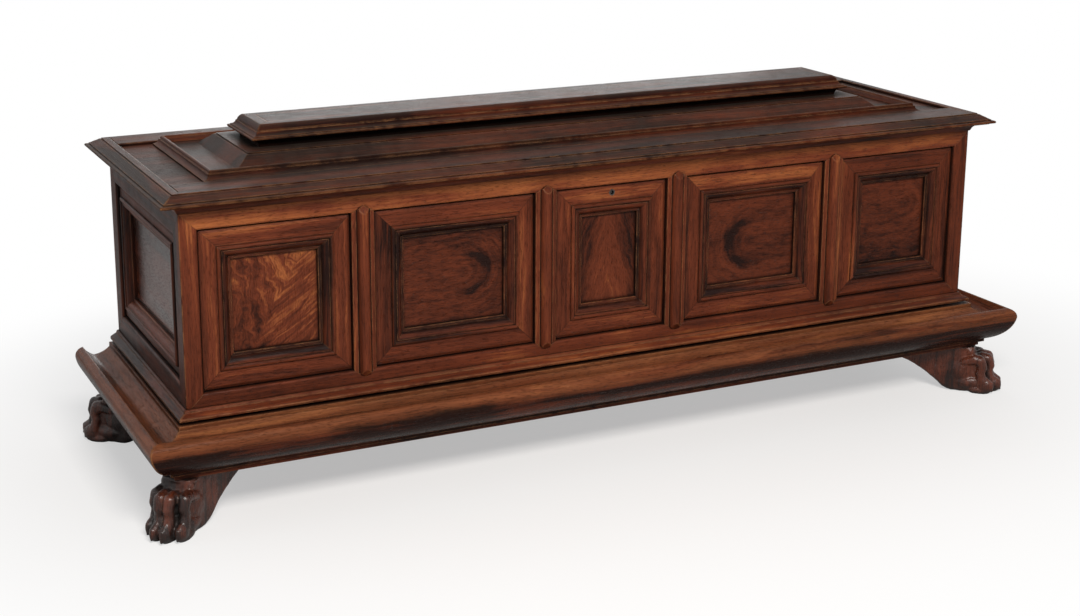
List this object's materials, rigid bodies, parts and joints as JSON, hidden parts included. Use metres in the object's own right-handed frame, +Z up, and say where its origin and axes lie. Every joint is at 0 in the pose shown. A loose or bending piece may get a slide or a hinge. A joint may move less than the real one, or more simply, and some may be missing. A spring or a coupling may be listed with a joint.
{
  "type": "cassone",
  "caption": "Long walnut cassone with a panelled front and ends, a bolection-moulded plinth, a stepped hinged lid and carved lion's-paw feet.",
  "frame": {"origin": "on the floor under the middle of the overall box", "axes": "+X along the front towards the viewer's right, -Y is the front, +Z up"},
  "size_m": [1.8158, 0.6125, 0.65],
  "materials": {
    "figured_walnut": "figured walnut, old polish",
    "moulding_walnut": "dark walnut mouldings, worn waxed arrises",
    "frame_walnut": "red-brown walnut rails and stiles, polished",
    "plinth_walnut": "dark walnut, polished",
    "carved_walnut": "carved dark walnut",
    "lid_walnut": "dark walnut lid, polished and worn",
    "inside_wood": "plain unpolished boards",
    "iron": "hand-forged iron, dull"
  },
  "bodies": {
    "chest": {"foot_front_left": "carved_walnut", "foot_front_right": "carved_walnut", "foot_rear_left": "carved_walnut", "foot_rear_right": "carved_walnut", "foot_tenons": "inside_wood", "base_board": "inside_wood", "plinth_front": "plinth_walnut", "plinth_left": "plinth_walnut", "plinth_right": "plinth_walnut", "plinth_back_rail": "inside_wood", "bottom_board": "inside_wood", "front_board": "inside_wood", "back_board": "inside_wood", "end_board_left": "inside_wood", "end_board_right": "inside_wood", "front_rail_top": "frame_walnut", "front_rail_bottom": "frame_walnut", "front_stile_left": "frame_walnut", "front_stile_right": "frame_walnut", "muntins": "moulding_walnut", "cornice_front": "moulding_walnut", "cornice_left": "moulding_walnut", "cornice_right": "moulding_walnut", "base_moulding_front": "moulding_walnut", "base_moulding_left": "moulding_walnut", "base_moulding_right": "moulding_walnut", "end_frame_left": "frame_walnut", "end_frame_right": "frame_walnut", "end_bay_frame_left": "moulding_walnut", "end_bay_frame_right": "moulding_walnut", "end_panel_left": "figured_walnut", "end_panel_right": "figured_walnut", "hinge_back_leaves": "iron", "hinge_pins": "iron", "lock_case": "iron", "keyhole_bush": "iron", "bay_frame_1": "moulding_walnut", "bay_panel_1": "figured_walnut", "bay_frame_2": "moulding_walnut", "bay_panel_2": "figured_walnut", "bay_frame_3": "moulding_walnut", "bay_panel_3": "figured_walnut", "bay_frame_4": "moulding_walnut", "bay_panel_4": "figured_walnut", "bay_frame_5": "moulding_walnut", "bay_panel_5": "figured_walnut"},
    "lid": {"lid_board": "lid_walnut", "lid_edge_front": "lid_walnut", "lid_edge_back": "lid_walnut", "lid_edge_left": "lid_walnut", "lid_edge_right": "lid_walnut", "lid_inner_frame": "lid_walnut", "crown_base": "lid_walnut", "crown_moulding": "lid_walnut", "crown_top": "lid_walnut", "hinge_lid_leaves": "iron", "lid_staple": "iron"},
    "bolt": {"lock_bolt": "iron"}
  },
  "joints": [
    {"name": "lid_hinge", "type": "hinge", "parent": "chest", "child": "lid", "pos_m": [0, 0.274, 0.562], "axis": [-1, 0, 0], "range_deg": [0, 100]},
    {"name": "lock_bolt_slide", "type": "slide", "parent": "chest", "child": "bolt", "axis": [-1, 0, 0], "range_m": [0, 0.012]}
  ]
}
